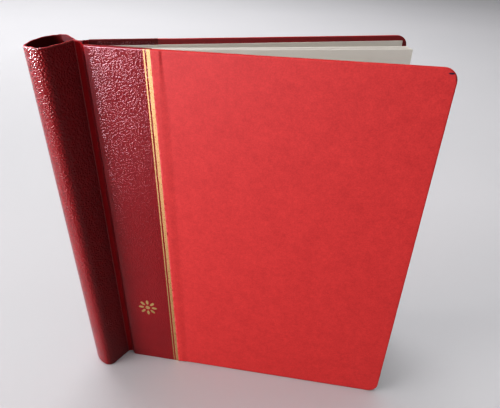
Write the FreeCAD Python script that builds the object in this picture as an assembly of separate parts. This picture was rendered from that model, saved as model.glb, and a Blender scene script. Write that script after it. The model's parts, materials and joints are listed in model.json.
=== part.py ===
# Spring-back album: a C-shaped steel spring in a leather spine clamps loose leaves between two lips,
# and two quarter-leather covers hang on the lips by flexible joints.
# Millimetres. X runs from the spine to the fore-edges, Y from the front cover to the back, Z up.
# The album is built with the middle of its jaws at the origin, then set on its bounding box's
# bottom centre.
import FreeCAD, Part
import math
import os

Vector = FreeCAD.Vector

# Leaves
leaf_count = 12
leaf_height = 297.0
leaf_reach = 240.0
leaf_thickness = 0.22
leaf_air = 0.08
leaf_margin = 14.0
score_gap = 0.2

# Spine
spine_height = 306.8
spine_width = 44.0
spine_depth = 35.0
crown_radius = 24.5
shoulder_radius = 8.0
lip_bend_radius = 2.0
lip_flat = 1.5
spring_gauge = 0.8
leather_gauge = 0.55
lining_gauge = 0.25
binding_gauge = 0.4
binding_leg = 5.0
cheek_thickness = 2.0
cheek_width = 9.0
jaw_clearance = 0.05
turn_in = 15.0

# Covers
board_width = 243.0
board_height = 305.0
board_thickness = 2.3
corner_radius = 8.5
paper_gauge = 0.3
pastedown_gauge = 0.25
pastedown_inset = 4.0
closed_gap = 3.9
joint_width = 3.4
joint_inset = 1.0
inner_joint_gauge = 0.35
hinge_beyond_lip = 0.3

# Gilding and siding on the covers, from the board's spine-side edge
leather_face = 47.5
paper_lap = 6.5
thick_rule = 2.8
rule_gap = 1.2
thin_rule = 1.0
foil_gauge = 0.08
rule_inset = 0.3
ornament_radius = 9.0
ornament_height = 69.0
ornament_from_edge = 21.7
petal_count = 8
petal_root = 3.8
rosette_eye = 2.2

# Pose in which the album stands, in degrees from the plane of the jaws
front_cover_angle = 15.9
back_cover_angle = 4.2
leaf_fan_angle = 1.0
leaf_parting_angle = 0.35

FRONT = -1
BACK = 1
SIDES = {"front": FRONT, "back": BACK}
cover_angle = {FRONT: front_cover_angle, BACK: back_cover_angle}

# Stack of layers at the jaws, outwards from the plane of the leaves
leaf_pitch = leaf_thickness + leaf_air
grip_face = leaf_count * leaf_pitch / 2 + jaw_clearance
cheek_outside = grip_face + cheek_thickness
spring_inside = cheek_outside + binding_gauge
lip_outside = spring_inside + spring_gauge + leather_gauge
lip_tip = lip_flat + binding_gauge

# Depths of the spine's layers below the outer face of its leather
spring_top = leather_gauge
spring_under = leather_gauge + spring_gauge

# Layers of a closed cover, outwards from the plane of the leaves
cover_inside = leaf_count * leaf_pitch / 2 + closed_gap
board_inside = cover_inside + pastedown_gauge + leather_gauge
board_outside = board_inside + board_thickness
leather_outside = board_outside + leather_gauge

# Cover edges along X
joint_end = lip_tip + joint_width
board_start = joint_end + leather_gauge
board_end = board_start + board_width
paper_start = board_start + leather_face
cover_height = board_height + 2 * leather_gauge

# Hinge lines, by side
hinge_x = lip_tip + hinge_beyond_lip
hinge_y = spring_inside + (spring_gauge + leather_gauge) / 2
leaf_hinge_x = hinge_x
leaf_foot = (cover_height - leaf_height) / 2
jaw_pivot_x = spring_top + spring_gauge / 2 - spine_depth

# Centres and directions of the tangent arcs of the spine's outline, on its front half
crown_centre = Vector(crown_radius - spine_depth, 0, 0)
shoulder_offset = spine_width / 2 - shoulder_radius
shoulder_back = math.sqrt((crown_radius - shoulder_radius) ** 2 - shoulder_offset ** 2)
shoulder_centre = Vector(crown_centre.x - shoulder_back, -shoulder_offset, 0)
bend_centre = Vector(0, -lip_outside - lip_bend_radius, 0)
wall_span = bend_centre - shoulder_centre
wall_turn = math.asin((shoulder_radius + lip_bend_radius) / wall_span.Length)
wall_angle = math.atan2(wall_span.y, wall_span.x) + wall_turn
wall_outward = Vector(math.sin(wall_angle), -math.cos(wall_angle), 0)
crown_outward = (shoulder_centre - crown_centre).normalize()


def mirrored(point):
    """The same point on the back half of the spine."""
    return Vector(point.x, -point.y, point.z)


def line(start, end):
    return Part.makeLine(start, end)


def arc(centre, radius, start_direction, end_direction):
    """Arc of under a half circle between two unit directions from its centre."""
    middle = (start_direction + end_direction).normalize()
    points = [centre + direction * radius for direction in (start_direction, middle, end_direction)]
    return Part.Arc(*points).toShape()


def lip_edges(depth, tip):
    """Lip and its bend on the front half, at a depth below the leather's face."""
    level = depth - lip_outside
    bend = arc(bend_centre, lip_bend_radius + depth, Vector(0, 1, 0), wall_outward * -1)
    return [line(Vector(tip, level, 0), Vector(0, level, 0)), bend]


def wall_mouth(depth):
    """Where the straight wall leaves the bend of the lip."""
    return bend_centre - wall_outward * (lip_bend_radius + depth)


def wall_station(depth):
    """Where the cloth that binds the lip ends on the wall, and the lining begins."""
    along = Vector(-math.cos(wall_angle), -math.sin(wall_angle), 0)
    return wall_mouth(depth) + along * binding_leg


def wall_shoulder(depth):
    """Where the straight wall meets the round shoulder."""
    return shoulder_centre + wall_outward * (shoulder_radius - depth)


def tube_edges(depth):
    """Shoulder arcs and crown, from the front wall to the back wall."""
    shoulder = arc(shoulder_centre, shoulder_radius - depth, wall_outward, crown_outward)
    end = shoulder_centre + crown_outward * (shoulder_radius - depth)
    crown = Part.Arc(end, Vector(depth - spine_depth, 0, 0), mirrored(end)).toShape()
    return [shoulder, crown, shoulder.mirror(Vector(), Vector(0, 1, 0))]


def both_halves(edges):
    return edges + [edge.mirror(Vector(), Vector(0, 1, 0)) for edge in edges]


def spine_outline(depth, tip):
    """Edges from the front lip round the spine to the back lip."""
    wall = line(wall_mouth(depth), wall_shoulder(depth))
    return both_halves(lip_edges(depth, tip) + [wall]) + tube_edges(depth)


def tube_outline(depth):
    """Edges from wall to wall, without the lips."""
    return both_halves([line(wall_station(depth), wall_shoulder(depth))]) + tube_edges(depth)


def section_face(edges):
    return Part.Face(Part.Wire(Part.__sortEdges__(edges)))


def raised(face, bottom, top):
    """Upright prism of a plan section."""
    prism = face.extrude(Vector(0, 0, top - bottom))
    prism.translate(Vector(0, 0, bottom))
    return prism


def spine_layer(outer, inner, tip, bottom, top):
    """Part of the C that runs from lip to lip, between two depths."""
    ends = both_halves([line(Vector(tip, outer - lip_outside, 0), Vector(tip, inner - lip_outside, 0))])
    return raised(section_face(spine_outline(outer, tip) + spine_outline(inner, tip) + ends), bottom, top)


def tube_layer(outer, inner, bottom, top):
    """Part of the C that runs from wall to wall, between two depths."""
    ends = both_halves([line(wall_station(outer), wall_station(inner))])
    return raised(section_face(tube_outline(outer) + tube_outline(inner) + ends), bottom, top)


def fused(first, *others):
    return first.fuse(list(others)).removeSplitter()


def spring_back():
    return spine_layer(spring_top, spring_under, lip_flat, leather_gauge, spine_height - leather_gauge)


def spine_leather():
    """Outer skin, folded over both ends of the spring and turned in."""
    skin = spine_layer(0, leather_gauge, lip_tip, 0, spine_height)
    folds = []
    for bottom in (0, spine_height - leather_gauge):
        folds.append(spine_layer(spring_top, spring_under, lip_flat, bottom, bottom + leather_gauge))
    for bottom in (0, spine_height - turn_in):
        folds.append(tube_layer(spring_under, spring_under + leather_gauge, bottom, bottom + turn_in))
    return fused(skin, *folds)


def spine_lining():
    return tube_layer(spring_under, spring_under + lining_gauge, turn_in, spine_height - turn_in)


def lip_binding(side):
    """Cloth that covers the inner face and the raw edge of a lip."""
    inner = spring_under + binding_gauge
    edges = lip_edges(spring_under, lip_tip) + lip_edges(inner, lip_tip)
    edges.append(line(wall_mouth(spring_under), wall_station(spring_under)))
    edges.append(line(wall_mouth(inner), wall_station(inner)))
    edges.append(line(wall_station(spring_under), wall_station(inner)))
    tip_ends = [Vector(lip_tip, depth - lip_outside, 0) for depth in (spring_under, inner)]
    edges.append(line(*tip_ends))
    leg = raised(section_face(edges), leather_gauge, spine_height - leather_gauge)
    spring_height = spine_height - 2 * leather_gauge
    cap_corner = Vector(lip_flat, spring_top - lip_outside, leather_gauge)
    cap = Part.makeBox(binding_gauge, spring_gauge, spring_height, cap_corner)
    binding = fused(leg, cap)
    return binding if side == FRONT else binding.mirror(Vector(), Vector(0, 1, 0))


def jaw_cheek(side):
    """Stiff bar between a bound lip and the leaves, which spreads the spring's grip."""
    z_range = (leather_gauge, spine_height - leather_gauge)
    return slab((lip_tip - cheek_width, lip_tip), (grip_face, cheek_outside), z_range, side)


def slab(x_range, out_range, z_range, side):
    """Box on one side of the leaves; out_range is measured outwards from their plane."""
    low = out_range[0] if side == BACK else -out_range[1]
    corner = Vector(x_range[0], low, z_range[0])
    return Part.makeBox(x_range[1] - x_range[0], out_range[1] - out_range[0], z_range[1] - z_range[0], corner)


def rounded_slab(x_range, out_range, z_range, radius, side):
    """Slab whose two fore-edge corners are rounded."""
    block = slab(x_range, out_range, z_range, side)
    corners = []
    for edge in block.Edges:
        box = edge.BoundBox
        if box.YLength > box.XLength + box.ZLength and box.XMin > sum(x_range) / 2:
            corners.append(edge)
    return block.makeFillet(radius, corners)


def board(side):
    z_range = (leather_gauge, leather_gauge + board_height)
    return rounded_slab((board_start, board_end), (board_inside, board_outside), z_range, corner_radius, side)


def leather_strip(side):
    """Leather on the spine side of a cover, turned in at head and tail, with a lap under the paper."""
    wrap_out = (board_inside - leather_gauge, leather_outside)
    wrap = slab((joint_end, paper_start), wrap_out, (0, cover_height), side)
    lap_height = (leather_gauge, leather_gauge + board_height)
    lap = slab((paper_start, paper_start + paper_lap), (board_outside, leather_outside), lap_height, side)
    window = slab((joint_end, paper_start), (0, board_inside), (turn_in, cover_height - turn_in), side)
    return fused(wrap, lap).cut(board(side)).cut(window).removeSplitter()


def paper_side(side):
    """Siding paper, turned in at head, tail and fore-edge, that rides over the lap of the leather."""
    overhang = leather_gauge - paper_gauge
    z_range = (overhang, cover_height - overhang)
    paper_end = board_end + paper_gauge
    inside = board_inside - paper_gauge
    flat_out = (inside, board_outside + paper_gauge)
    flat = rounded_slab((paper_start, paper_end), flat_out, z_range, corner_radius + paper_gauge, side)
    lap_range = (paper_start, paper_start + paper_lap + paper_gauge)
    lapped = slab(lap_range, (inside, leather_outside + paper_gauge), z_range, side)
    window_z = (turn_in, cover_height - turn_in)
    window = slab((paper_start, board_end - turn_in), (0, board_inside), window_z, side)
    return fused(flat, lapped).cut(board(side)).cut(leather_strip(side)).cut(window).removeSplitter()


def pastedown(side):
    """Lining paper and filler inside a cover, between and over the turn-ins."""
    x_range = (joint_end, board_end - pastedown_inset)
    z_range = (pastedown_inset, cover_height - pastedown_inset)
    sheet = slab(x_range, (cover_inside, board_inside), z_range, side)
    edge_gap = slab((joint_end, board_start), (board_inside - leather_gauge, board_inside), z_range, side)
    return sheet.cut(edge_gap).cut(leather_strip(side)).cut(paper_side(side)).removeSplitter()


def rules(side):
    """Thin and thick gilt rules beside the paper."""
    z_range = (rule_inset, cover_height - rule_inset)
    out_range = (leather_outside, leather_outside + foil_gauge)
    thick_start = paper_start - thick_rule
    thin_end = thick_start - rule_gap
    bands = [(thick_start, paper_start), (thin_end - thin_rule, thin_end)]
    return Part.makeCompound([slab(band, out_range, z_range, side) for band in bands])


def ornament(side):
    """Small gilt rosette near the tail of the leather: petals round a centre dot."""
    centre = Vector(board_start + ornament_from_edge, side * leather_outside, ornament_height)
    outward = Vector(0, side, 0)
    middle_radius = (petal_root + ornament_radius) / 2
    half_width = middle_radius * math.tan(math.pi / petal_count) / 2
    pieces = [Part.makeCylinder(rosette_eye, foil_gauge, centre, outward)]
    for index in range(petal_count):
        turn = 2 * math.pi * index / petal_count
        radial = Vector(math.cos(turn), 0, math.sin(turn))
        across = Vector(-math.sin(turn), 0, math.cos(turn)) * half_width
        root = centre + radial * petal_root
        middle = centre + radial * middle_radius
        tip = centre + radial * ornament_radius
        left = Part.Arc(root, middle + across, tip).toShape()
        right = Part.Arc(tip, middle - across, root).toShape()
        pieces.append(Part.Face(Part.Wire([left, right])).extrude(outward * foil_gauge))
    return Part.makeCompound(pieces)


def hinge_line(side):
    return Vector(hinge_x, side * hinge_y, 0)


def opened(shape, side):
    """Swing a piece of a closed cover to the angle at which the album stands."""
    turned = shape.copy()
    turned.rotate(hinge_line(side), Vector(0, 0, 1), side * cover_angle[side])
    return turned


def joint_strip(start_range, end_range, z_range, side):
    """Flexible strip from a lip to the opened cover; the ranges are measured outwards."""
    turn = FreeCAD.Rotation(Vector(0, 0, 1), side * cover_angle[side])
    cover_direction = turn.multVec(Vector(1, 0, 0))
    curves = []
    ends = []
    for start_out, end_out in zip(start_range, end_range):
        start = Vector(lip_tip, side * start_out, 0)
        closed_end = Vector(joint_end, side * end_out, 0)
        end = hinge_line(side) + turn.multVec(closed_end - hinge_line(side))
        pull = (end - start).Length / 3
        curve = Part.BezierCurve()
        curve.setPoles([start, start + Vector(pull, 0, 0), end - cover_direction * pull, end])
        curves.append(curve.toShape())
        ends.append((start, end))
    caps = [line(*points) for points in zip(*ends)]
    return raised(section_face(curves + caps), *z_range)


def joint_leather(side):
    """Stretch of the outer leather that bends between the spine and a cover."""
    start = (lip_outside - leather_gauge, lip_outside)
    end = (board_inside, board_inside + leather_gauge)
    return joint_strip(start, end, (joint_inset, cover_height - joint_inset), side)


def inner_joint(side):
    """Cloth inside the joint, from the bound lip to the pastedown."""
    start = (cheek_outside, cheek_outside + inner_joint_gauge)
    end = (cover_inside, cover_inside + inner_joint_gauge)
    return joint_strip(start, end, (pastedown_inset, cover_height - pastedown_inset), side)


def leaf_level(index):
    """Place of a leaf across the block."""
    return (index - (leaf_count - 1) / 2) * leaf_pitch


def leaf_angle(index):
    """Fan of a leaf in degrees: the block parts in its middle, one half to each cover."""
    half = leaf_count // 2
    side, rank = (FRONT, half - 1 - index) if index < half else (BACK, index - half)
    return side * (leaf_parting_angle + (leaf_fan_angle - leaf_parting_angle) * rank / (half - 1))


def leaf_sheet(index, start, end):
    corner = Vector(start, leaf_level(index) - leaf_thickness / 2, leaf_foot)
    return Part.makeBox(end - start, leaf_thickness, leaf_height, corner)


def leaf_margins():
    """The strips of the leaves that the jaws hold, behind their scored lines."""
    strips = [leaf_sheet(index, -leaf_margin, leaf_hinge_x - score_gap / 2) for index in range(leaf_count)]
    return Part.makeCompound(strips)


def leaf_page(index):
    """The part of a leaf that turns, fanned as it stands."""
    page = leaf_sheet(index, leaf_hinge_x + score_gap / 2, leaf_reach)
    page.rotate(Vector(leaf_hinge_x, leaf_level(index), 0), Vector(0, 0, 1), leaf_angle(index))
    return page


def leaf_name(index):
    return "leaf_%02d" % (index + 1)


def album():
    """All sub-parts by name, with the jaws' middle at the origin."""
    pieces = {
        "spring_back": spring_back(),
        "spine_leather": spine_leather(),
        "spine_lining": spine_lining(),
        "leaf_margins": leaf_margins(),
        "front_ornament": opened(ornament(FRONT), FRONT),
    }
    for name, side in SIDES.items():
        pieces[name + "_jaw_cheek"] = jaw_cheek(side)
        pieces[name + "_lip_binding"] = lip_binding(side)
        pieces[name + "_joint_leather"] = joint_leather(side)
        pieces[name + "_inner_joint"] = inner_joint(side)
        for piece in (board, leather_strip, paper_side, pastedown, rules):
            pieces[name + "_" + piece.__name__] = opened(piece(side), side)
    for index in range(leaf_count):
        pieces[leaf_name(index)] = leaf_page(index)
    return pieces


parts = album()
album_box = Part.makeCompound(list(parts.values())).optimalBoundingBox()
to_frame = Vector(-album_box.Center.x, -album_box.Center.y, -album_box.ZMin)

os.makedirs("parts", exist_ok=True)
for part_name, shape in parts.items():
    shape.translate(to_frame)
    shape.exportStep("parts/" + part_name + ".step")
    print(part_name, len(shape.Solids), "solids", round(shape.Volume, 1), "mm3", shape.isValid())
print("frame shift", [round(value, 4) for value in to_frame])
print("size", [round(value, 2) for value in (album_box.XLength, album_box.YLength, album_box.ZLength)])
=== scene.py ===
# %% [markdown]
# # A spring-back stamp album in Blender
# The album is a quarter-leather binder with a hollow spine. A C of spring steel inside the spine
# clamps loose leaves between two lips, and two covers hang on the lips by flexible leather joints.
# The construction comes packed from CAD as a fixed frame, and this lesson dresses it. Each piece could
# be modelled by hand where it stands. A binder cuts every material flat and then wraps it round
# something, so nearly every piece here is made that way: a flat solid, then a rule that lays it.

# %% Load the frame
import json
import math

import bmesh
import bpy
from mathutils import Matrix, Vector

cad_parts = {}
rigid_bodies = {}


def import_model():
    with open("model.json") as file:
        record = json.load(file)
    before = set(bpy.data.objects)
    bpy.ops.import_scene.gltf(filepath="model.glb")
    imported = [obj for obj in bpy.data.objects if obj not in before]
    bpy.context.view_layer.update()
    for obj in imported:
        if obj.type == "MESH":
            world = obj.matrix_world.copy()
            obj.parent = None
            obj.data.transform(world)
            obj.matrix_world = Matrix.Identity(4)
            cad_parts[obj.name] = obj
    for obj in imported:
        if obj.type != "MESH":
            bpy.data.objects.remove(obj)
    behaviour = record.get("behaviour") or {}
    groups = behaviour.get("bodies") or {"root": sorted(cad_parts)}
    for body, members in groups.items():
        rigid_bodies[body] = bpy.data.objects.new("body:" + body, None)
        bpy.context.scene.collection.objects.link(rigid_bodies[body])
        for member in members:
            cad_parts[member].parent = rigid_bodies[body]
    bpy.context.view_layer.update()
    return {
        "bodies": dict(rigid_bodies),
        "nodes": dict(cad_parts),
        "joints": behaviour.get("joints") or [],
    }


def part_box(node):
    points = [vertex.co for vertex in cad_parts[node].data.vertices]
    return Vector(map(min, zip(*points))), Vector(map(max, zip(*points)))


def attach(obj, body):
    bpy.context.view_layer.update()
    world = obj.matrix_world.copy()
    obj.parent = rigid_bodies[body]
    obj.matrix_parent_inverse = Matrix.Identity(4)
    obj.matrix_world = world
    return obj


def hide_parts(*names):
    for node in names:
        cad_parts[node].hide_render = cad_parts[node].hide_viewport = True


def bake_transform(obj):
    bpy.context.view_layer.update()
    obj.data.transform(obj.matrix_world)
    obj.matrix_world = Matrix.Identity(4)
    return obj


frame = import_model()
MM = 0.001
ACROSS = Vector((1, 0, 0))
UP = Vector((0, 0, 1))
scene = bpy.context.scene

# %% [markdown]
# ## Camera
# The photograph looks down on the standing album from the front. A camera can be aimed at a target,
# but then its lean is lost. This stance was found by fitting the corners of the front cover, so it is
# written out: where the lens stands, how far it turns, how steeply it looks down, how much it leans.

# %% Camera
PHOTO_WIDTH = 500
FOCAL_PIXELS = 446.4
lens_place = Vector((-24.5, -307.9, 373.5)) * MM
look_turn = math.radians(6.81)
look_down = math.radians(31.37)
camera_lean = math.radians(-1.385)


def camera_axes():
    """Right, up and backward directions of the leaning camera."""
    forward = Vector((
        math.sin(look_turn) * math.cos(look_down),
        math.cos(look_turn) * math.cos(look_down),
        -math.sin(look_down),
    ))
    level_right = Vector((math.cos(look_turn), -math.sin(look_turn), 0))
    level_down = forward.cross(level_right)
    right = level_right * math.cos(camera_lean) + level_down * math.sin(camera_lean)
    down = level_down * math.cos(camera_lean) - level_right * math.sin(camera_lean)
    return right, -down, -forward


camera_data = bpy.data.cameras.new("photo_camera")
camera_data.lens = FOCAL_PIXELS / PHOTO_WIDTH * camera_data.sensor_width
camera_data.clip_start = 10 * MM
camera = bpy.data.objects.new("photo_camera", camera_data)
scene.collection.objects.link(camera)
camera_turn = Matrix(camera_axes()).transposed()
camera.matrix_world = Matrix.Translation(lens_place) @ camera_turn.to_4x4()
scene.camera = camera
print("lens:", round(camera_data.lens, 2), "mm")

# %% [markdown]
# ## Shader sums as Python
# A material is a graph, and sums drawn as nodes are hard to read. This small class wraps one output
# socket, so that `1 - mask` or `grain * 0.6` adds the Math node by itself. Its `node` method adds any
# other node: settings first, then values or links for its sockets. It serves Geometry Nodes as well.


# %% The wire class
class Wire:
    """An output socket on which Python's operators add Math nodes."""

    def __init__(self, tree, socket=None):
        self.tree = tree
        self.socket = socket

    def node(self, kind, settings=None, inputs=None, output=0):
        """Add a node of any kind and return a wire from one of its outputs."""
        made = self.tree.nodes.new(kind)
        for name, value in (settings or {}).items():
            setattr(made, name, value)
        for key, value in (inputs or {}).items():
            if isinstance(value, Wire):
                self.tree.links.new(value.socket, made.inputs[key])
            else:
                made.inputs[key].default_value = value
        return Wire(self.tree, made.outputs[output])

    def sum(self, operation, first, second):
        return self.node("ShaderNodeMath", {"operation": operation}, {0: first, 1: second})

    def feed(self, socket):
        self.tree.links.new(self.socket, socket)

    def __add__(self, other):
        return self.sum("ADD", self, other)

    def __sub__(self, other):
        return self.sum("SUBTRACT", self, other)

    def __rsub__(self, other):
        return self.sum("SUBTRACT", other, self)

    def __mul__(self, other):
        return self.sum("MULTIPLY", self, other)

    def __truediv__(self, other):
        return self.sum("DIVIDE", self, other)

    __radd__ = __add__
    __rmul__ = __mul__


print("wire class ready")

# %% [markdown]
# ## Places on flat material
# Grain and wear belong to the material, not to the room. A UV map could hold their places, but it has
# no depth. So each made piece keeps a point attribute with its place on the flat stock: how far
# across, how deep, and how high. A pattern that reads it bends with the leather and never swims.

# %% Finish helpers
FLAT_PLACE = "flat_place"


def new_finish(name, reads_flat_place=True):
    """A material, its shader's sockets, and a wire that carries each point's place."""
    material = bpy.data.materials.new(name)
    material.use_nodes = True
    start = Wire(material.node_tree)
    if reads_flat_place:
        place = start.node("ShaderNodeAttribute", {"attribute_name": FLAT_PLACE}, output="Vector")
    else:
        place = start.node("ShaderNodeTexCoord", output="Object")
    return material, material.node_tree.nodes["Principled BSDF"].inputs, place


def surfaced(surface, colour, roughness, height, depth):
    """Feed what varies over a finish: colour, roughness, and a bump that is so many metres high."""
    normal = height.node("ShaderNodeBump", {}, {"Height": height, "Distance": depth})
    for name, value in (("Base Color", colour), ("Roughness", roughness), ("Normal", normal)):
        value.feed(surface[name])


print("finishes read", FLAT_PLACE)


# %% Masks and colours
def split(place):
    """The three numbers of a place: across, deep, high."""
    parts = place.node("ShaderNodeSeparateXYZ", {}, {0: place})
    return [Wire(place.tree, socket) for socket in parts.socket.node.outputs]


def noise(place, feature, detail=2.0, output="Fac"):
    """Soft random value with features of the given size in metres."""
    inputs = {"Vector": place, "Scale": 1 / feature, "Detail": detail}
    return place.node("ShaderNodeTexNoise", {}, inputs, output)


def step(value, low, high):
    """Rises smoothly from 0 at low to 1 at high; falls if low is the larger."""
    ends = {0: value, 1: min(low, high), 2: max(low, high)}
    ramp = value.node("ShaderNodeMapRange", {"interpolation_type": "SMOOTHSTEP"}, ends)
    return ramp if low < high else 1 - ramp


def colours(mask, first, second):
    """First colour where the mask is 0, second where it is 1."""
    settings = {"data_type": "RGBA", "clamp_factor": True}
    return mask.node("ShaderNodeMix", settings, {0: mask, 6: first, 7: second}, 2)


def tinted(body, *marks):
    """A body colour with marks laid over it, each a mask and a colour."""
    for mask, tint in marks:
        body = colours(mask, body, tint)
    return body


def srgb(red, green, blue):
    """A colour given on the 0 to 255 scale, as the shader's linear values."""
    shares = [value / 255 for value in (red, green, blue)]
    linear = [s / 12.92 if s <= 0.04045 else ((s + 0.055) / 1.055) ** 2.4 for s in shares]
    return (*linear, 1.0)


print("a middle grey is", round(srgb(128, 128, 128)[0], 3), "to the shader")

# %% [markdown]
# ## Leather
# The hide is dyed crimson, embossed with a pebble grain and polished a little. A picture of grain would
# repeat, so each pebble is a domed cell of a Voronoi pattern, and noise pushes the pattern about,
# because no hide takes an emboss evenly. One recipe serves three hides: small pebbles on the covers,
# larger ones on the spine, worn flat on its crown by hands, and the dull, flexed hide of joints, lips
# and turn-ins, whose reds are lightened as painted light because they stand in shade. Near a fold the
# grain is pressed out and the spine's rim is rubbed. Painted shade darkens the pebbles' valleys, the
# covers' turn-ins and the spine's hollow, and a pale line along the crease is a painted highlight.

# %% Pebble grain
emboss_push = 0.6 * MM
pebble_dome = (0.75, 0.15)
pebble_valley_shade = (0.4, 0.75)


def pebbles(place, size):
    """Distance from the middle of each pebble of an uneven emboss."""
    push = noise(place, 2.4 * MM, output="Color")
    centred = place.node("ShaderNodeVectorMath", {"operation": "SUBTRACT"}, {0: push, 1: (0.5, 0.5, 0.5)})
    scaled = place.node("ShaderNodeVectorMath", {"operation": "SCALE"}, {0: centred, "Scale": emboss_push})
    hide = place.node("ShaderNodeVectorMath", {"operation": "ADD"}, {0: place, 1: scaled})
    return place.node("ShaderNodeTexVoronoi", {}, {"Vector": hide, "Scale": 1 / size}, "Distance")


print("pebbles pushed about by up to", round(emboss_push / 2 / MM, 2), "mm")

# %% Leather
worn_share = 0.65
grain_fade = 2.5 * MM
crease_place = 3.6 * MM
# Each pair is a band of the hide: where a mask begins, and where it is full
bare_end = (1.8 * MM, 0.5 * MM)
hand_worn = (24 * MM, 10 * MM)
rim_band = (1.1 * MM, 0.3 * MM)
crease_reach = (0.5 * MM, 0.2 * MM)
strip_side = (0.3 * MM, 0.1 * MM)
board_side = (0.8 * MM, 1.1 * MM)
# Painted shade: turned-in hide and paper inside a cover are darkened
turned_in_shade_side = (2.4 * MM, 1.6 * MM)
outer_side = (-0.4 * MM, -0.05 * MM)
rolled_side = (-1.3 * MM, -0.5 * MM)
# Painted shade: where the hide lies inside the spine's hollow it is darkened
hollow_shade_side = (-1.0 * MM, -1.7 * MM)


def leather_finish(name, polish, gloss, dye_and_painted_light, pebble_size, grain_depth, crown=1.0, grain_from=0.8 * MM):
    """Dyed hide, with painted shade in the pebbles' valleys, on turn-ins and in the hollow, and a painted
    highlight along the crease. Polish is its least roughness, gloss its specular level, and the two reds
    after them are the dyed colour, lightened as painted light for the flexed hide, which stands in shade.
    Past the crown the place across counts down to the far lip; a flat piece ends far short of it."""
    material, surface, place = new_finish(name)
    run, deep, high = split(place)
    across = crown - place.node("ShaderNodeMath", {"operation": "ABSOLUTE"}, {0: run - crown})
    pebble = pebbles(place, pebble_size)
    fine = noise(place, 0.35 * MM)
    outer_face = step(deep, *outer_side)
    on_cover = step(deep, *board_side)
    bare = on_cover * step(cover_top - high, *bare_end)
    embossed = step(across, grain_from, grain_from + grain_fade) * (1 - bare) * outer_face
    worn = step(across, crown - hand_worn[0], crown - hand_worn[1])
    grain = step(pebble, *pebble_dome) * embossed * (1 - worn_share * worn) + 0.03 * fine
    # Painted shade: the valleys between the pebbles are darkened in colour
    valley_shade = step(pebble, *pebble_valley_shade) * embossed
    rim = step(high, spine_head - rim_band[0], spine_head - rim_band[1])
    rubbed = rim * step(deep, *rolled_side) * step(noise(place, 5 * MM, 3.0), 0.4, 0.62)
    # Painted highlight: a pale line along the crease
    off_crease = across - crease_place
    crease_highlight = step(off_crease * off_crease, crease_reach[0] ** 2, crease_reach[1] ** 2)
    shade = tinted(
        colours(noise(place, 24 * MM, 3.0), *dye_and_painted_light),
        # painted shade in the pebbles' valleys
        (0.15 * valley_shade, srgb(70, 10, 15)),
        # painted shade inside the spine's hollow
        (0.8 * step(deep, *hollow_shade_side), srgb(48, 10, 11)),
        # painted shade on the covers' turned-in hide
        (0.8 * on_cover * step(deep, *turned_in_shade_side), srgb(62, 14, 14)),
        # painted highlight along the crease
        (0.5 * crease_highlight * step(deep, *strip_side) * outer_face, srgb(176, 84, 84)),
        (0.22 * rubbed, srgb(186, 128, 116)),
    )
    roughness = polish + 0.12 * fine + 0.4 * (1 - outer_face) + 0.6 * rim
    surfaced(surface, shade, roughness, grain, grain_depth)
    surface["Specular IOR Level"].default_value = gloss
    return material


spine_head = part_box("spine_leather")[1].z
cover_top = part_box("front_leather_strip")[1].z
cover_reds = (srgb(132, 20, 28), srgb(146, 25, 33))
crimson_leather = leather_finish(
    "crimson_leather", 0.19, 0.3, cover_reds, 1.12 * MM, 0.185 * MM, grain_from=3.0 * MM)
print("leather:", len(crimson_leather.node_tree.nodes), "nodes")

# %% [markdown]
# ## Siding paper
# The covers' sides are a red paper, matt and slightly felted. Three noises of falling size give its
# mottle. Wear could be scattered at random, but it comes where hands and shelves leave it, so each
# mark is an oval with its own place: a rub on the fore-edge, a scuff on the upper corner, and nicks
# beside the gilt rule. The two covers have led different lives, so each has its own nicks and scuff.

# %% Siding paper
paper_start = 48.05 * MM
rolled_edge = (1.4 * MM, 0.5 * MM)
siding_face = (2.4 * MM, 3.0 * MM)
# Marks in millimetres: the middle, across and up, then the reach each way
nicks = {
    "front": [((49.4, 186.7), (0.9, 0.8)), ((48.6, 158.0), (0.7, 1.8)), ((48.5, 95.5), (0.7, 1.2))],
    "back": [((48.7, 221.0), (0.8, 1.1)), ((48.5, 62.4), (0.6, 1.6))],
}
corner_scuff = {"front": ((239.3, 302.7), (2.3, 0.8)), "back": ((236.4, 304.2), (1.6, 0.7))}
corner_rub = ((242.9, 300.8), (0.9, 3.4))


def spot(across, high, mark):
    """1 at the middle of an oval mark, given in millimetres, and 0 at its edge."""
    (middle_x, middle_z), (reach_x, reach_z) = mark
    aside = (across - middle_x * MM) / (reach_x * MM)
    above = (high - middle_z * MM) / (reach_z * MM)
    return step(aside * aside + above * above, 1.0, 0.25)


def siding_finish(side):
    """Siding paper with the wear of one cover, and painted shade on its turn-ins."""
    material, surface, place = new_finish(side + "_red_siding")
    across, deep, high = split(place)
    cloud, mottle, fibre = [noise(place, size * MM, 3.0) for size in (11, 3.2, 1.0)]
    tone = 0.5 + 0.6 * (cloud - 0.5) + 0.7 * (mottle - 0.5) + 1.3 * (fibre - 0.5)
    rolled = step(across - paper_start, *rolled_edge) * step(mottle, 0.36, 0.6)
    outer_face = step(deep, *siding_face)
    # The turned-in paper is darkened: painted shade
    marks = [(0.55 * rolled, srgb(240, 96, 104)), (0.75 * step(deep, *turned_in_shade_side), srgb(96, 14, 16))]
    for nick in nicks[side]:
        marks.append((0.8 * spot(across, high, nick) * outer_face, srgb(140, 12, 20)))
    marks.append((0.7 * spot(across, high, corner_rub), srgb(98, 32, 28)))
    marks.append((spot(across, high, corner_scuff[side]) * outer_face, srgb(48, 16, 48)))
    shade = tinted(colours(tone, srgb(185, 44, 43), srgb(216, 61, 59)), *marks)
    surfaced(surface, shade, 0.56 + 0.2 * fibre, 0.6 * fibre + 0.4 * mottle, 0.04 * MM)
    surface["Specular IOR Level"].default_value = 0.2
    return material


red_siding = {side: siding_finish(side) for side in nicks}
print("siding paper:", len(red_siding["front"].node_tree.nodes), "nodes")

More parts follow.
